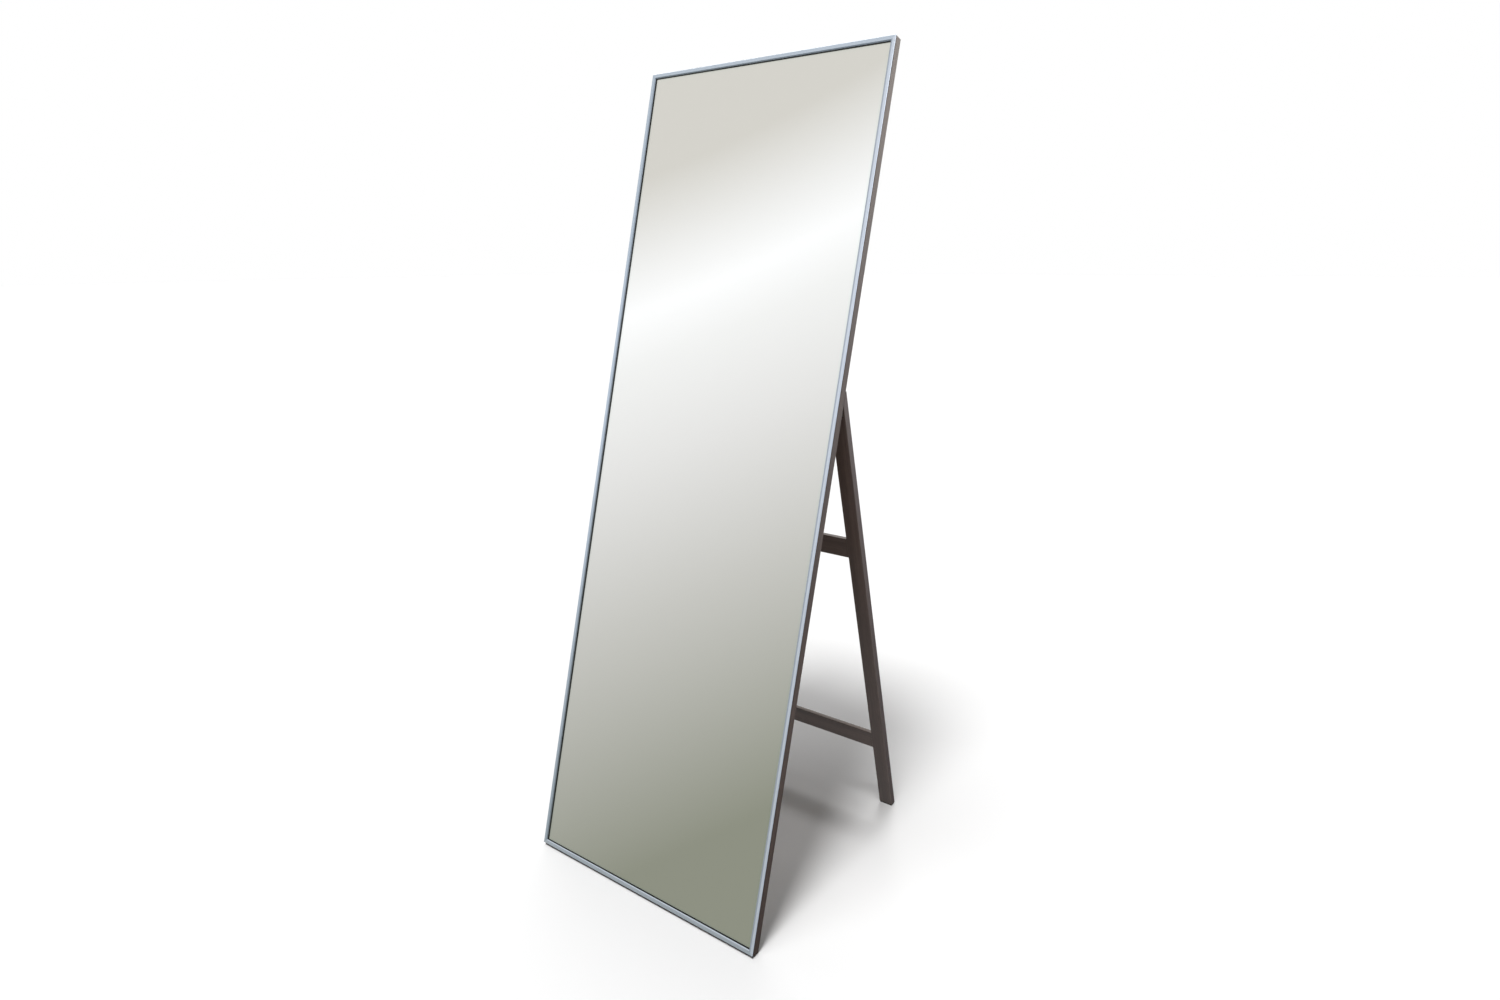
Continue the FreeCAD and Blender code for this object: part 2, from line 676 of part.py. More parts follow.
def make_base_pads():
    """Rubber wedges that fill the angle between the bottom bar and the floor."""
    def floor(back):
        return f"(({back} - frame_depth) * sin(lean_angle) - base_pad_lift) / cos(lean_angle)"
    for side, sign in sides.items():
        body = new_body(f"{side}_base_pad")
        sketch = new_sketch(body, "YZ_Plane", "0")
        draw_outline(sketch, [
            ("base_pad_front", "0"), ("base_pad_front", floor("base_pad_front")),
            ("base_pad_back", floor("base_pad_back")), ("base_pad_back", "0")])
        pad(body, sketch, "base_pad_length")
        hand_over(body, shifted(mirror_place, f"{sign} * (frame_width / 2 - base_pad_from_side)"))


def check_document():
    document.recompute()
    for item in document.Objects:
        if "Invalid" in item.State or "Error" in item.State:
            raise RuntimeError(f"{item.Label} did not recompute: {item.State}")
    for piece in subparts:
        if piece.Shape.isNull() or not piece.Shape.isValid():
            raise RuntimeError(f"{piece.Label} has no valid shape")


def write_parts():
    os.makedirs("parts", exist_ok=True)
    for piece in subparts:
        piece.Shape.exportStep(f"parts/{piece.Label}.step")
        print(f"{piece.Label}: {len(piece.Shape.Solids)} solid(s), {piece.Shape.Volume:.1f} mm3")


make_frame()
make_trims()
make_corner_keys()
make_glass()
make_tape()
make_back_board()
make_board_screws()
make_hinges()
make_hinge_screws()
make_legs()
make_rails()
make_foot_pads()
make_base_pads()
check_document()
write_parts()
print("hinge pin at", [round(component, 4) for component in pin_point])
print("leg length", round(value("leg_length"), 2))
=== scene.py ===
import math
import bmesh
import bpy
import numpy as np
from mathutils import Euler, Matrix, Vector


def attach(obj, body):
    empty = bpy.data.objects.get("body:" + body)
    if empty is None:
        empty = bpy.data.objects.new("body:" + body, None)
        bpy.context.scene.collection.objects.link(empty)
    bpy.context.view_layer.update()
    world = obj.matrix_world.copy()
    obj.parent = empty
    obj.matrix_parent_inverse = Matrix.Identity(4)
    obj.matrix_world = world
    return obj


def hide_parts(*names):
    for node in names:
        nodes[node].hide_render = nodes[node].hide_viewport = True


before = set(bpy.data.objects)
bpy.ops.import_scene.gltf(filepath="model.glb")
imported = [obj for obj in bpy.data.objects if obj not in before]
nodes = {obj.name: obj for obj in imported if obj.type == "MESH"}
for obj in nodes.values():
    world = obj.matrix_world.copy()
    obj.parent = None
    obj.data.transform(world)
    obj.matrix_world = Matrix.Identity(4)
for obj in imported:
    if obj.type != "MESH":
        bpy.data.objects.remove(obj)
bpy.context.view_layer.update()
scene = bpy.context.scene
print("frame loaded,", len(nodes), "CAD nodes")


class Wire:  # one output socket, so that shader maths reads as plain sums
    def __init__(self, board, socket):
        self.board, self.socket = board, socket

    def maths(self, operation, *others):
        values = dict(enumerate((self, *others)))
        return self.board.add("ShaderNodeMath", {"operation": operation}, values)

    def __add__(self, other):
        return self.maths("ADD", other)

    __radd__ = __add__

    def __mul__(self, other):
        return self.maths("MULTIPLY", other)

    __rmul__ = __mul__

    def __sub__(self, other):
        return self.maths("SUBTRACT", other)

    def __rsub__(self, other):
        return (self * -1) + other

    def __abs__(self):
        return self.maths("ABSOLUTE")


class Board:  # a node tree that is filled one node at a time
    def __init__(self, tree):
        self.tree = tree
        tree.nodes.clear()

    def add(self, kind, settings=None, sockets=None, out=0):
        made = self.tree.nodes.new(kind)
        for name, value in (settings or {}).items():
            if name == "stops":  # a ramp's places and colours, lowest first
                elements = made.color_ramp.elements
                elements.remove(elements[1])
                elements[0].position, elements[0].color = value[0][0], (*value[0][1], 1)
                for place, colour in value[1:]:
                    elements.new(place).color = (*colour, 1)
            else:
                setattr(made, name, value)
        for name, value in (sockets or {}).items():
            for item in value if isinstance(value, list) else [value]:  # a list is several wires
                if isinstance(item, Wire):
                    self.tree.links.new(item.socket, made.inputs[name])
                else:
                    made.inputs[name].default_value = item
        return Wire(self, made.outputs[out]) if len(made.outputs) else None

    def axes(self, place):
        split = self.add("ShaderNodeSeparateXYZ", {}, {0: place})
        return [Wire(self, socket) for socket in split.socket.node.outputs]

    def stretch(self, place, sizes):
        return self.add("ShaderNodeVectorMath", {"operation": "MULTIPLY"}, {0: place, 1: sizes})

    def noise(self, place, sizes, detail=3.0, rough=0.55):  # sizes are waves in a metre each way
        return self.add("ShaderNodeTexNoise", {}, {
            "Vector": self.stretch(place, sizes), "Scale": 1.0,
            "Detail": detail, "Roughness": rough})

    def step(self, value, low, high):  # eases from 0 at low to 1 at high
        return self.add("ShaderNodeMapRange", {"interpolation_type": "SMOOTHSTEP"},
                        {"Value": value, "From Min": low, "From Max": high})

    def mix(self, factor, first, second):
        pair = [(*tone, 1) if isinstance(tone, tuple) else tone for tone in (first, second)]
        return self.add("ShaderNodeMix", {"data_type": "RGBA"},
                        {0: factor, 6: pair[0], 7: pair[1]}, 2)  # its colour sockets

    def bump(self, height, distance, strength):
        return self.add("ShaderNodeBump", {}, {
            "Height": height, "Distance": distance, "Strength": strength})


lean = math.radians(15.5)  # the mirror leans back by this, and the stand leans forward by it
turns = {  # takes a piece's own length to X
    "stile": (lean, math.pi / 2, 0),
    "bar": (lean, 0, 0),
    "leg": (-lean, math.pi / 2, 0),
    "rail": (-lean, 0, 0),
}
mergeDistance = 1e-6  # corners nearer than this are one corner


def placed(name, data):
    made = bpy.data.objects.new(name, data)
    scene.collection.objects.link(made)
    return made


def mergedShell(mesh):  # the mesh with its split corners joined again
    shell = bmesh.new()
    shell.from_mesh(mesh)
    bmesh.ops.remove_doubles(shell, verts=shell.verts, dist=mergeDistance)
    return shell


def ownSizes(name, turn):  # where the piece's middle is, in its own directions, and its half sizes
    points = np.array([v.co for v in nodes[name].data.vertices])
    points = points @ np.array(Euler(turn).to_matrix()).T
    low, high = points.min(0), points.max(0)
    return (low + high) / 2, (high - low) / 2


def newFinish(name, middle=(0, 0, 0), turn=(0, 0, 0)):
    material = bpy.data.materials.new(name)
    material.use_nodes = True
    board = Board(material.node_tree)
    place = board.add("ShaderNodeTexCoord", out=3)  # Object coordinates
    place = board.add("ShaderNodeMapping", {"vector_type": "POINT"}, {
        "Vector": place, "Location": tuple(-x for x in middle), "Rotation": turn})
    return material, board, place


def coat(board, sockets):
    shader = board.add("ShaderNodeBsdfPrincipled", {}, sockets)
    board.add("ShaderNodeOutputMaterial", {}, {"Surface": shader})


def arris(board, place, half, width, ragged):  # 1 along the long edges of a bar, 0 on its faces
    _, across, deep = board.axes(place)
    inward = (half[1] - abs(across)).maths("MAXIMUM", half[2] - abs(deep))
    return 1 - board.step(inward + ragged, 0.0, width)


def border(board, place, half, ragged):  # distance in from the nearest edge of a sheet
    along, _, up = board.axes(place)
    return (half[0] - abs(along)).maths("MINIMUM", half[2] - abs(up)) + ragged


def dress(name, material):
    for slot in nodes[name].material_slots:
        slot.material = material


# dark brown foil-wrapped wood of the frame bars, legs and rails
woodFinish = {
    "frame": {"dark": (0.064, 0.042, 0.032), "light": (0.108, 0.073, 0.055)},
    # painted shade: the stand's copy of the same wood is a cooler tone, standing for the bluish
    # shade the legs and rails sit in behind the mirror
    "stand": {"dark": (0.066, 0.0445, 0.039), "light": (0.106, 0.0745, 0.065)},
    "figure": ((1.3, 62, 62), 4), "figureShare": 0.6,  # noise: waves in a metre, detail, roughness
    "streak": ((9, 380, 380), 3, 0.6), "streakShare": 0.4, "toneRange": (0.36, 0.66),
    "pores": ((48, 1500, 1500), 2, 0.7), "poreRange": (0.56, 0.70),
    "pore": (0.022, 0.015, 0.012), "poreShare": 0.7, "poreDepth": 0.00012,
    "poreSink": 0.8, "streakRise": 0.25, "bump": 0.6,
    "rub": ((26, 90, 90), 3), "rubReach": 0.003, "rubBack": 0.0012,
    "worn": (0.20, 0.165, 0.14), "wornShare": 0.45, "wearWidth": 0.0020,
    "roughness": 0.34, "streakRough": 0.14, "wornSmooth": 0.08, "ior": 1.5,
    "boardStep": (1.7, 0.31, 0),  # each bar is cut from another length of board
    "pieces": {
        "left_stile": ("stile", "frame"), "right_stile": ("stile", "frame"),
        "top_bar": ("bar", "frame"), "bottom_bar": ("bar", "frame"),
        "left_leg": ("leg", "stand"), "right_leg": ("leg", "stand"),
        "upper_rail": ("rail", "stand"), "lower_rail": ("rail", "stand")},
}


def brownWood(name, turn, tones, order):
    look = woodFinish
    middle, half = ownSizes(name, turn)
    shift = np.array(look["boardStep"]) * order
    material, board, place = newFinish("brownWood_" + name, middle - shift, turn)
    centred = board.add("ShaderNodeVectorMath", {"operation": "SUBTRACT"},
                        {0: place, 1: tuple(shift)})
    figure = board.noise(place, *look["figure"])
    streak = board.noise(place, *look["streak"])
    pores = board.step(board.noise(place, *look["pores"]), *look["poreRange"])
    grain = figure * look["figureShare"] + streak * look["streakShare"]
    tone = board.mix(board.step(grain, *look["toneRange"]), tones["dark"], tones["light"])
    tone = board.mix(pores * look["poreShare"], tone, look["pore"])
    ragged = board.noise(place, *look["rub"]) * look["rubReach"] - look["rubBack"]
    worn = arris(board, centred, half, look["wearWidth"], ragged)
    tone = board.mix(worn * look["wornShare"], tone, look["worn"])
    height = 1 - pores * look["poreSink"] + streak * look["streakRise"]
    rough = look["roughness"] + streak * look["streakRough"] - worn * look["wornSmooth"]
    coat(board, {"Base Color": tone, "Roughness": rough, "IOR": look["ior"],
                 "Normal": board.bump(height, look["poreDepth"], look["bump"])})
    return material


for order, (name, (way, part)) in enumerate(woodFinish["pieces"].items()):
    dress(name, brownWood(name, turns[way], woodFinish[part], order))
print("brown wood on", len(woodFinish["pieces"]), "bars")

# silver trim round the front, brushed along its length
trimFinish = {
    "dull": (0.55, 0.66, 0.80), "bright": (0.80, 0.86, 0.98),
    "brush": ((7, 2600, 2600), 2, 0.6), "brushShare": 0.7, "brushDepth": 0.00002, "bump": 0.5,
    "cloud": ((5, 16, 16), 2), "cloudShare": 0.3,
    # the trims' edges: bare metal worn bright, and partly a painted highlight that lightens the
    # chamfer and makes it less metallic
    "arris": (0.90, 0.93, 0.98), "arrisShare": 0.8, "wornMetal": 0.5,
    "wearWidth": 0.0012, "wearRagged": 0.0008,
    # inner is a painted shade colour for the strip along each trim's inner bevel
    "inner": (0.22, 0.26, 0.33), "innerFade": 1.4,
    # painted shade: from this depth back, the trim's lip wall and underside are near-black and not
    # metallic, standing for the shadow gap under the lip
    "lipShade": (0.012, 0.013, 0.018), "lipShadeFrom": 0.0016, "lipShadeFade": 0.0002,
    "roughness": 0.27, "brushRough": 0.16, "lipShadeRough": 0.3,
    "pieces": {  # per trim: a tone shift that is painted light where it brightens and painted shade where it darkens, its metallic share, and a painted shade darkening its inner side over the width
        "left_trim": {"way": "stile", "paintedLight": -0.35, "metal": 0.85, "paintedShade": 0.5, "width": 0.0015},
        "right_trim": {"way": "stile", "paintedLight": 0.15, "metal": 0.6, "paintedShade": 0.55, "width": 0.003},
        "top_trim": {"way": "bar", "paintedLight": -0.2, "metal": 0.85, "paintedShade": 0.5, "width": 0.0015},
        "bottom_trim": {"way": "bar", "paintedLight": 0.0, "metal": 0.85, "paintedShade": 0.0, "width": 0.0015}},
}


def silverTrim(name, kind):
    look, turn, width = trimFinish, turns[kind["way"]], kind["width"]
    middle, half = ownSizes(name, turn)
    centre = Euler(turn).to_matrix() @ glassCentre
    side = 1 if centre[2] > middle[2] else -1  # which way across the glass lies
    material, board, place = newFinish("silverTrim_" + name, middle, turn)
    brush = board.noise(place, *look["brush"])
    cloud = board.noise(place, *look["cloud"])
    # painted light and shade: each trim's own shift makes that side brighter or darker than its
    # brushed tone
    shine = brush * look["brushShare"] + cloud * look["cloudShare"] + kind["paintedLight"]
    tone = board.mix(shine, look["dull"], look["bright"])
    # worn bright edges, partly a painted highlight on the chamfer
    worn = arris(board, place, half, look["wearWidth"], cloud * look["wearRagged"])
    tone = board.mix(worn * look["arrisShare"], tone, look["arris"])
    _, deep, across = board.axes(place)
    # painted shade: the strip along the inner edge is darkened towards the inner colour
    inner = 1 - board.step(half[2] - across * side, width, width * look["innerFade"])
    tone = board.mix(inner * kind["paintedShade"], tone, look["inner"])
    # painted shade: behind the lip's face the trim turns near-black and not metallic
    start = look["lipShadeFrom"]
    under = board.step(deep + half[1], start, start + look["lipShadeFade"])
    tone = board.mix(under, tone, look["lipShade"])
    metal = (kind["metal"] - worn * look["wornMetal"]) * (1 - under)
    rough = look["roughness"] + brush * look["brushRough"] + under * look["lipShadeRough"]
    coat(board, {"Base Color": tone, "Metallic": metal, "Roughness": rough,
                 "Normal": board.bump(brush, look["brushDepth"], look["bump"])})
    return material


glassPoints = [v.co for v in nodes["mirror_glass"].data.vertices]
glassCentre = sum(glassPoints, Vector()) / len(glassPoints)
for name, kind in trimFinish["pieces"].items():
    dress(name, silverTrim(name, kind))
print("silver trim brushed")

# the mirror: clear float glass with a silver coat just inside its back face
mirrorGlass = {
    "clear": (1.0, 1.0, 1.0), "edgeGreen": (0.90, 0.97, 0.94), "greenWidth": 0.012,
    "cloud": ((8, 8, 3), 3), "greenRagged": 0.004, "ior": 1.52,
    "lipGap": 0.0001,  # the front face stays just clear of the trim's lip
    "silver": (0.975, 0.985, 0.985), "silverThick": 0.00006,
    "silverInset": 0.00012, "silverMargin": 0.0004,
    # darker silver near the border: real edge desilvering, and partly a painted shade that darkens
    # the reflection just inside the trim's lip
    "tarnishShade": (0.06, 0.055, 0.05), "tarnishShadeRange": (0.0005, 0.0022), "tarnishShadeRough": 0.4,
    "spots": ((240, 240, 240), 3, 0.65), "spotReach": 0.005, "spotBack": 0.002,
    "ground": (0.030, 0.042, 0.038), "chalk": (0.10, 0.12, 0.11), "chalkRange": (0.4, 0.7),
    "scratch": ((900, 900, 900), 3, 0.7), "scratchDepth": 0.00006, "bump": 0.5,
    "groundRough": 0.55, "scratchRough": 0.3,
    "edgeFacing": 0.7,  # faces that look less than this forward or back are edges
}


def mergedCopy(node, name):
    mesh = nodes[node].data.copy()
    mesh.name = name
    shell = mergedShell(mesh)
    shell.to_mesh(mesh)
    shell.free()
    mesh.materials.clear()
    return placed(name, mesh)


def silverSheet(name, middle, half):
    look = mirrorGlass
    centre = middle + np.array([0, half[1] - look["silverInset"], 0])
    size = (half[0] - look["silverMargin"], look["silverThick"] / 2, half[2] - look["silverMargin"])
    upright = Euler(turns["bar"]).to_matrix().inverted().to_4x4()
    shell = bmesh.new()
    bmesh.ops.create_cube(shell, size=2.0)
    bmesh.ops.scale(shell, vec=size, verts=shell.verts)
    bmesh.ops.translate(shell, vec=Vector(centre), verts=shell.verts)
    bmesh.ops.transform(shell, matrix=upright, verts=shell.verts)
    sheet = bpy.data.meshes.new(name)
    shell.to_mesh(sheet)
    shell.free()
    return placed(name, sheet)


def clearGlass(middle, half):
    look = mirrorGlass
    material, board, place = newFinish("clearGlass", middle, turns["bar"])
    cloud = board.noise(place, *look["cloud"])
    inward = border(board, place, half, cloud * look["greenRagged"])
    tone = board.mix(board.step(inward, 0.0, look["greenWidth"]), look["edgeGreen"], look["clear"])
    coat(board, {"Base Color": tone, "Roughness": 0.0, "Transmission Weight": 1.0,
                 "IOR": look["ior"]})
    return material


def silverCoat(middle, half):
    look = mirrorGlass
    material, board, place = newFinish("silverCoat", middle, turns["bar"])
    spots = board.noise(place, *look["spots"])
    inward = border(board, place, half, spots * look["spotReach"] - look["spotBack"])
    # tarnish and painted shade along the border of the silver
    clean = board.step(inward, *look["tarnishShadeRange"])
    tone = board.mix(clean, look["tarnishShade"], look["silver"])
    rough = look["tarnishShadeRough"] - clean * look["tarnishShadeRough"]
    coat(board, {"Base Color": tone, "Metallic": 1.0, "Roughness": rough})
    return material


def groundEdge():  # the sheet's four narrow edges, seamed on a belt and sealed
    look = mirrorGlass
    material, board, place = newFinish("groundEdge")
    scratch = board.noise(place, *look["scratch"])
    tone = board.mix(board.step(scratch, *look["chalkRange"]), look["ground"], look["chalk"])
    rough = look["groundRough"] + scratch * look["scratchRough"]
    coat(board, {"Base Color": tone, "Roughness": rough,
                 "Normal": board.bump(scratch, look["scratchDepth"], look["bump"])})
    return material


middle, half = ownSizes("mirror_glass", turns["bar"])
glass = mergedCopy("mirror_glass", "mirror_glass_slab")
for finish in (clearGlass(middle, half), groundEdge()):
    glass.data.materials.append(finish)
backward = Vector((0, math.cos(lean), -math.sin(lean)))
for face in glass.data.polygons:
    face.material_index = int(abs(backward.dot(face.normal)) < mirrorGlass["edgeFacing"])
for vert in glass.data.vertices:
    if backward.dot(vert.co) < middle[1]:
        vert.co += backward * mirrorGlass["lipGap"]
silver = silverSheet("mirror_silvering", middle, half)
silver.data.materials.append(silverCoat(middle, half))
for piece in (glass, silver):
    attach(piece, "mirror")
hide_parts("mirror_glass")
print("mirror glass and silver coat in place")

# hardboard back
boardFinish = {
    "dark": (0.135, 0.078, 0.040), "light": (0.30, 0.19, 0.105), "toneRange": (0.32, 0.68),
    "blotch": ((5, 5, 5), 4), "blotchShare": 0.22,
    "fibre": ((260, 260, 120), 5, 0.7), "fibreShare": 0.78, "fibreDepth": 0.00025, "bump": 0.6,
    "fleck": (0.05, 0.028, 0.015), "flecks": ((420, 420, 160), 2), "fleckRange": (0.62, 0.72),
    "fleckShare": 0.75, "fleckSink": 0.4,
    "cutRange": (0.0008, 0.0035), "cutRagged": 0.002, "cutShare": 0.6,
    "roughness": 0.52, "fibreRough": 0.25,
}


def hardboard():
    look = boardFinish
    middle, half = ownSizes("back_board", turns["bar"])
    material, board, place = newFinish("hardboardBack", middle, turns["bar"])
    blotch = board.noise(place, *look["blotch"])
    fibre = board.noise(place, *look["fibre"])
    fleck = board.step(board.noise(place, *look["flecks"]), *look["fleckRange"])
    mottle = blotch * look["blotchShare"] + fibre * look["fibreShare"]
    tone = board.mix(board.step(mottle, *look["toneRange"]), look["dark"], look["light"])
    tone = board.mix(fleck * look["fleckShare"], tone, look["fleck"])
    inward = border(board, place, half, fibre * look["cutRagged"])
    cut = 1 - board.step(inward, *look["cutRange"])
    tone = board.mix(cut * look["cutShare"], tone, look["fleck"])
    height = fibre - fleck * look["fleckSink"]
    coat(board, {"Base Color": tone, "Roughness": look["roughness"] + fibre * look["fibreRough"],
                 "Normal": board.bump(height, look["fibreDepth"], look["bump"])})
    return material


# foam tape between the glass and the bars
tapeFinish = {
    "hollow": (0.52, 0.52, 0.50), "wall": (0.80, 0.80, 0.78), "cells": 1600.0,
    "roughness": 0.85, "cellDepth": 0.0003, "bump": 0.7,
}


def foamTape():
    look = tapeFinish
    material, board, place = newFinish("foamTape")
    cells = board.add("ShaderNodeTexVoronoi", {}, {"Vector": place, "Scale": look["cells"]})
    tone = board.mix(cells, look["hollow"], look["wall"])
    coat(board, {"Base Color": tone, "Roughness": look["roughness"],
                 "Normal": board.bump(cells, look["cellDepth"], look["bump"])})
    return material


# plywood keys across the mitres
keyFinish = {
    "dark": (0.36, 0.22, 0.12), "light": (0.58, 0.41, 0.25), "line": (0.30, 0.18, 0.09),
    "plyWaves": 6300.0, "plyEdge": 0.15,  # a light and a dark ply in each millimetre
    "grain": ((60, 900, 900), 3), "grainShare": 0.5, "grainDepth": 0.0001, "bump": 0.5,
    "roughness": 0.6, "grainRough": 0.2,
}


def plyKey():
    look = keyFinish
    material, board, place = newFinish("plyKey", turn=turns["bar"])
    _, deep, _ = board.axes(place)
    wave = (deep * look["plyWaves"]).maths("SINE")
    plies = board.step(wave, -look["plyEdge"], look["plyEdge"])
    grain = board.noise(place, *look["grain"])
    tone = board.mix(plies, look["dark"], look["light"])
    tone = board.mix(grain * look["grainShare"], tone, look["line"])
    coat(board, {"Base Color": tone, "Roughness": look["roughness"] + grain * look["grainRough"],
                 "Normal": board.bump(grain, look["grainDepth"], look["bump"])})
    return material


# rubber pads under the feet and the bottom bar
padFinish = {
    "rubber": (0.014, 0.014, 0.015), "dust": (0.075, 0.072, 0.068), "dustShare": 0.5,
    "dusting": ((90, 90, 240), 3), "dustRange": (0.48, 0.72),
    "grain": ((2200, 2200, 2200), 3), "grainDepth": 0.0001, "bump": 0.6,
    "roughness": 0.68, "dustRough": 0.2,
    "pieces": ("left_foot_pad", "right_foot_pad", "left_base_pad", "right_base_pad"),
}


def rubberPad():
    look = padFinish
    material, board, place = newFinish("rubberPad")
    grain = board.noise(place, *look["grain"])
    dust = board.step(board.noise(place, *look["dusting"]), *look["dustRange"])
    tone = board.mix(dust * look["dustShare"], look["rubber"], look["dust"])
    coat(board, {"Base Color": tone, "Roughness": look["roughness"] + dust * look["dustRough"],
                 "Normal": board.bump(grain, look["grainDepth"], look["bump"])})
    return material


dress("back_board", hardboard())
dress("mounting_tape", foamTape())
dress("corner_keys", plyKey())
pads = rubberPad()
for name in padFinish["pieces"]:
    dress(name, pads)
print("back board, tape, keys and pads dressed")

# zinc-plated hinges and screws
steelFinish = {
    "dark": (0.36, 0.37, 0.38), "bright": (0.66, 0.66, 0.64), "spangle": 900.0,
    "cloud": ((160, 160, 160), 4), "spangleShare": 0.5, "cloudShare": 0.5,
    "stain": (0.34, 0.29, 0.20), "stainRange": (0.58, 0.78), "stainShare": 0.5,
    "roughness": 0.24, "cloudRough": 0.24, "cloudDepth": 0.00004, "bump": 0.4,
    "pieces": ("left_hinge_frame_leaf", "right_hinge_frame_leaf", "left_hinge_leg_leaf",
               "right_hinge_leg_leaf", "left_hinge_pin", "right_hinge_pin"),
}


def zincSteel():
    look = steelFinish
    material, board, place = newFinish("zincSteel")
    spangle = board.add("ShaderNodeTexVoronoi", {"feature": "SMOOTH_F1"},
                        {"Vector": place, "Scale": look["spangle"]})
    cloud = board.noise(place, *look["cloud"])
    shine = spangle * look["spangleShare"] + cloud * look["cloudShare"]
    tone = board.mix(shine, look["dark"], look["bright"])
    stain = board.step(cloud, *look["stainRange"])
    tone = board.mix(stain * look["stainShare"], tone, look["stain"])
    coat(board, {"Base Color": tone, "Metallic": 1.0,
                 "Roughness": look["roughness"] + cloud * look["cloudRough"],
                 "Normal": board.bump(cloud, look["cloudDepth"], look["bump"])})
    return material


steel = zincSteel()
for name in steelFinish["pieces"]:
    dress(name, steel)

# cross-head screws, set out by Geometry Nodes
screwShape = {
    "headSides": 28, "shankSides": 16,
    "slotReach": 1.15, "slotDepth": 1.1,  # shares of the head's radius and height
    "sunk": 0.9,  # the shank starts just inside the head, at this share of its height
    "point": 0.25,  # share of the shank's radius
    "spin": 1.57, "seed": 11,  # each cross is turned by up to a quarter turn
}


def screwTree():
    shape = screwShape
    tree = bpy.data.node_groups.new("crossHeadScrews", "GeometryNodeTree")
    sizes = ("Head Radius", "Under Radius", "Head Height",
             "Shank Radius", "Shank Length", "Slot Width")
    wanted = {"Places": "Geometry", **dict.fromkeys(sizes, "Float"),
              "Seed": "Int", "Finish": "Material"}
    for name, kind in wanted.items():
        tree.interface.new_socket(name, in_out="INPUT", socket_type="NodeSocket" + kind)
    tree.interface.new_socket("Screws", in_out="OUTPUT", socket_type="NodeSocketGeometry")
    board = Board(tree)
    outputs = board.add("NodeGroupInput").socket.node.outputs
    given = {socket.name: Wire(board, socket) for socket in outputs if socket.name}
    radius, height, slot = given["Head Radius"], given["Head Height"], given["Slot Width"]

    def vector(x, y, z):
        return board.add("ShaderNodeCombineXYZ", {}, {0: x, 1: y, 2: z})

    def lowered(mesh, drop):
        shift = vector(0.0, 0.0, drop * -1)
        return board.add("GeometryNodeTransform", {}, {"Geometry": mesh, "Translation": shift})

    head = board.add("GeometryNodeMeshCone", {}, {
        "Vertices": shape["headSides"], "Side Segments": 1, "Radius Top": radius,
        "Radius Bottom": given["Under Radius"], "Depth": height})
    reach, depth = radius * shape["slotReach"], height * shape["slotDepth"]
    arms = [board.add("GeometryNodeMeshCube", {}, {"Size": vector(*size)})
            for size in ((reach, slot, depth), (slot, reach, depth))]
    head = board.add("GeometryNodeMeshBoolean", {"operation": "DIFFERENCE", "solver": "EXACT"},
                     {"Mesh 1": lowered(head, height), "Mesh 2": arms})
    shank = board.add("GeometryNodeMeshCone", {}, {
        "Vertices": shape["shankSides"], "Radius Top": given["Shank Radius"],
        "Radius Bottom": given["Shank Radius"] * shape["point"], "Depth": given["Shank Length"]})
    shank = lowered(shank, given["Shank Length"] + height * shape["sunk"])
    screw = board.add("GeometryNodeJoinGeometry", {}, {"Geometry": [head, shank]})
    outward = board.add("GeometryNodeInputNamedAttribute", {"data_type": "FLOAT_VECTOR"},
                        {"Name": "outward"})
    facing = board.add("FunctionNodeAlignRotationToVector", {"axis": "Z"}, {"Vector": outward})
    angle = board.add("FunctionNodeRandomValue", {"data_type": "FLOAT"}, {
        2: 0.0, 3: shape["spin"], "Seed": given["Seed"]}, 1)  # 2 and 3 are its limits
    spin = board.add("FunctionNodeAxisAngleToRotation", {}, {"Axis": (0, 0, 1), "Angle": angle})
    facing = board.add("FunctionNodeRotateRotation", {"rotation_space": "LOCAL"},
                       {"Rotation": facing, "Rotate By": spin})
    points = board.add("GeometryNodeMeshToPoints", {}, {"Mesh": given["Places"]})
    laid = board.add("GeometryNodeInstanceOnPoints", {}, {
        "Points": points, "Instance": screw, "Rotation": facing})
    solid = board.add("GeometryNodeRealizeInstances", {}, {"Geometry": laid})
    solid = board.add("GeometryNodeSetMaterial", {}, {
        "Geometry": solid, "Material": given["Finish"]})
    board.add("NodeGroupOutput", {}, {0: solid})
    return tree


def screwPlaces(node):  # each screw's head centre, the way it faces, its radius and its length
    shell = mergedShell(nodes[node].data)
    found, reached = [], set()
    for start in shell.verts:
        if start in reached:
            continue
        group = [start]
        reached.add(start)
        for vert in group:  # grows along the edges until the whole screw is in it
            for other in (edge.other_vert(vert) for edge in vert.link_edges):
                if other not in reached:
                    reached.add(other)
                    group.append(other)
        points = np.array([v.co for v in group])
        middle = (points.min(0) + points.max(0)) / 2
        way = np.linalg.svd(points - points.mean(0))[2][0]
        reach = (points - middle) @ way
        wide = np.linalg.norm(points - middle - np.outer(reach, way), axis=1)
        if wide[reach > reach.mean()].max() < wide[reach < reach.mean()].max():
            way, reach = -way, -reach
        found.append((middle + way * reach.max(), way, wide.max(), np.ptp(reach)))
    shell.free()
    return found


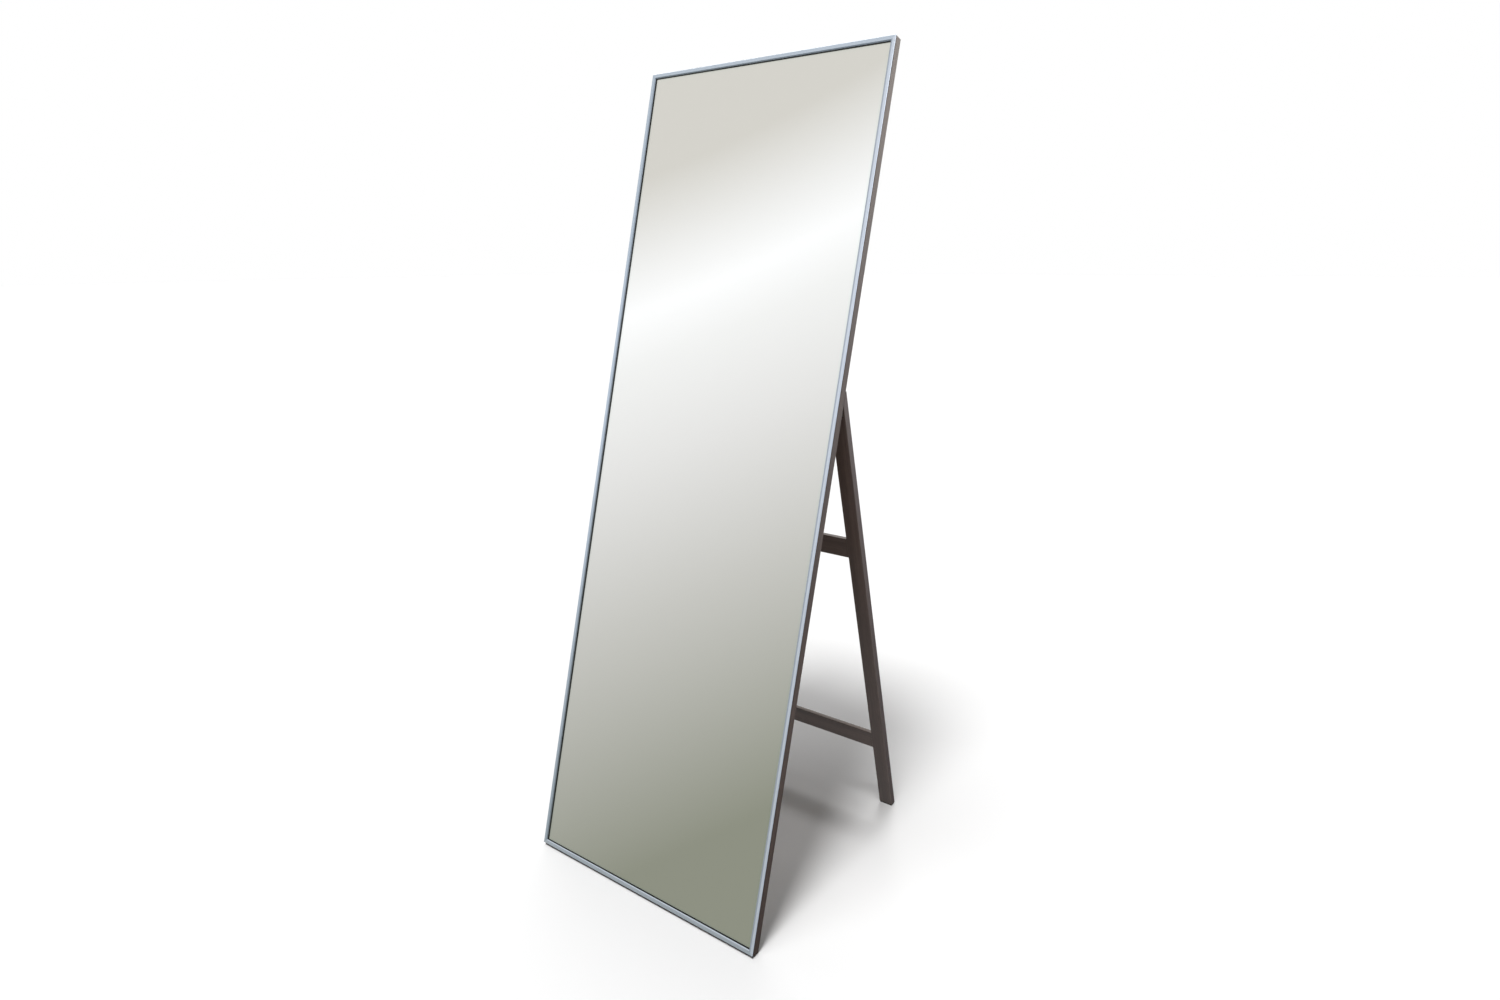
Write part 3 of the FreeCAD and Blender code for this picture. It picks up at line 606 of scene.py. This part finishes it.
screwKinds = {  # under and top are shares of the head's radius, the rest is in metres
    "back_board_screws": {"body": "mirror", "under": 1.0, "top": 0.86, "height": 0.0016,
                          "shank": 0.0012, "slot": 0.0006},
    "hinge_frame_screws": {"body": "mirror", "under": 0.5, "top": 1.0, "height": 0.0012,
                           "shank": 0.0014, "slot": 0.0006},
    "hinge_leg_screws": {"body": "stand", "under": 0.5, "top": 1.0, "height": 0.0012,
                         "shank": 0.0014, "slot": 0.0006},
}
tree = screwTree()
inputs = {item.name: item.identifier
          for item in tree.interface.items_tree if item.in_out == "INPUT"}
for order, (node, kind) in enumerate(screwKinds.items()):
    centres, ways, radii, lengths = zip(*screwPlaces(node))
    mesh = bpy.data.meshes.new(node + "_places")
    mesh.from_pydata(centres, [], [])
    outward = mesh.attributes.new("outward", "FLOAT_VECTOR", "POINT")
    outward.data.foreach_set("vector", np.array(ways).ravel())
    holder = placed(node + "_places", mesh)
    radius, length = max(radii), max(lengths)
    modifier = holder.modifiers.new("screws", "NODES")
    modifier.node_group = tree
    for name, value in {"Head Radius": radius * kind["top"], "Under Radius": radius * kind["under"],
                        "Head Height": kind["height"], "Shank Radius": kind["shank"],
                        "Shank Length": length - kind["height"], "Slot Width": kind["slot"],
                        "Seed": screwShape["seed"] + order, "Finish": steel}.items():
        modifier[inputs[name]] = value
    graph = bpy.context.evaluated_depsgraph_get()
    made = bpy.data.meshes.new_from_object(holder.evaluated_get(graph))
    holder.modifiers.remove(modifier)
    bpy.data.objects.remove(holder)
    piece = placed(node + "_cross_head", made)
    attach(piece, kind["body"])
    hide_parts(node)
    print(node, "laid out:", len(centres), "screws,", len(made.polygons), "faces")

# pale floor, soft light and camera
studio = {
    "floorSize": 60.0, "floorTone": (0.86, 0.86, 0.86), "floorPale": (0.9, 0.9, 0.9),
    "floorCloud": ((3, 3, 3), 3), "cloudShare": 0.1, "floorRough": 0.9, "floorShine": 0.1,
    "lamps": {  # strength, spread in degrees, and the direction it comes from
        "frontLamp": (2.39, 15, (0.06, -0.40, 1.0)),
        "sideLamp": (0.74, 19, (-0.126, -0.20, 1.0)),
        "backLamp": (0.75, 21, (-0.19, 0.38, 1.0)),
    },
    "ambient": (0.06, 0.06, 0.06), "backdrop": (1.0, 1.0, 1.0),
    "gradient": [  # what the mirror sees, from low to high
        (0.00, (0.66, 0.65, 0.63)), (0.16, (0.36, 0.38, 0.41)), (0.27, (0.270, 0.279, 0.223)),
        (0.374, (0.270, 0.279, 0.223)), (0.545, (0.571, 0.565, 0.533)),
        (0.655, (0.783, 0.775, 0.761)), (0.727, (0.896, 0.896, 0.885)), (0.764, (1.0, 1.0, 1.0)),
        (0.80, (0.871, 0.865, 0.85)), (0.855, (0.665, 0.645, 0.597))],
    "frontRise": (-60.0, 50.0), "frontStrength": 1.03,  # degrees above the level
    "bandTurn": 40, "bandReach": 16.0, "bandSlope": 0.83,  # the bands slant over these degrees
    "behind": [  # what the sides and the stand see, from low to high
        (0.06, (0.016, 0.018, 0.024)), (0.26, (0.10, 0.10, 0.112)), (0.36, (0.24, 0.24, 0.26)),
        (0.52, (0.60, 0.59, 0.60)), (0.64, (1.0, 0.98, 0.95))],
    "behindRise": (-50.0, 50.0), "behindStrength": 3.0,
    "behindFrom": (0.05, 0.35),  # how far back the one gives way to the other
}


def surround(board, height, limits, stops, strength):  # one side's colours by height
    level = board.add("ShaderNodeMapRange", {}, {
        "Value": height, "From Min": limits[0], "From Max": limits[1]})
    ramp = board.add("ShaderNodeValToRGB", {"stops": stops}, {0: level})
    return board.add("ShaderNodeVectorMath", {"operation": "SCALE"}, {0: ramp, "Scale": strength})


floorMesh = bpy.data.meshes.new("floor")
size = studio["floorSize"]
corners = [(-size, -size, 0), (size, -size, 0), (size, size, 0), (-size, size, 0)]
floorMesh.from_pydata(corners, [], [(0, 1, 2, 3)])
floor = placed("floor", floorMesh)
material, board, place = newFinish("paleFloor")
cloud = board.noise(place, *studio["floorCloud"])
tone = board.mix(cloud * studio["cloudShare"], studio["floorTone"], studio["floorPale"])
coat(board, {"Base Color": tone, "Roughness": studio["floorRough"],
             "Specular IOR Level": studio["floorShine"]})
floor.data.materials.append(material)
floor.visible_glossy = floor.visible_transmission = False
for name, (strength, spread, away) in studio["lamps"].items():
    lamp = bpy.data.lights.new(name, "SUN")
    lamp.energy, lamp.angle = strength, math.radians(spread)
    holder = placed(name, lamp)
    holder.rotation_euler = Vector(away).to_track_quat("Z", "Y").to_euler()
    holder.visible_glossy = holder.visible_transmission = False
world = bpy.data.worlds.new("softStudio")
world.use_nodes = True
scene.world = world
board = Board(world.node_tree)
x, y, z = board.axes(board.add("ShaderNodeTexCoord"))
rise = z.maths("ARCSINE") * math.degrees(1)
swing = x.maths("ARCTAN2", y * -1) * math.degrees(1) + studio["bandTurn"]
swing = swing.maths("MAXIMUM", -studio["bandReach"]).maths("MINIMUM", studio["bandReach"])
slanted = rise - swing * studio["bandSlope"]
front = surround(board, slanted, studio["frontRise"], studio["gradient"], studio["frontStrength"])
behind = surround(board, rise, studio["behindRise"], studio["behind"], studio["behindStrength"])
seen = board.mix(board.step(y, *studio["behindFrom"]), front, behind)
path = board.add("ShaderNodeLightPath").socket.node.outputs
glossy, viewed, depth = (Wire(board, path[name])
                         for name in ("Is Glossy Ray", "Is Camera Ray", "Diffuse Depth"))
fresh = 1 - depth.maths("MINIMUM", 1.0)  # keeps the mirror from lighting the floor
tone = board.mix(glossy * fresh, studio["ambient"], seen)
tone = board.mix(viewed, tone, studio["backdrop"])
light = board.add("ShaderNodeBackground", {}, {"Color": tone})
board.add("ShaderNodeOutputWorld", {}, {"Surface": light})
scene.view_settings.view_transform = "Standard"
camera = {
    "place": (0.995, -1.286, 1.188), "turn": (74.395, 0.343, 35.588),
    "lens": 20.64, "sensor": 36.0,
}
lens = bpy.data.cameras.new("camera")
lens.lens, lens.sensor_width = camera["lens"], camera["sensor"]
holder = placed("camera", lens)
holder.location = camera["place"]
holder.rotation_euler = [math.radians(angle) for angle in camera["turn"]]
scene.camera = holder
print("floor, lamps and camera set")
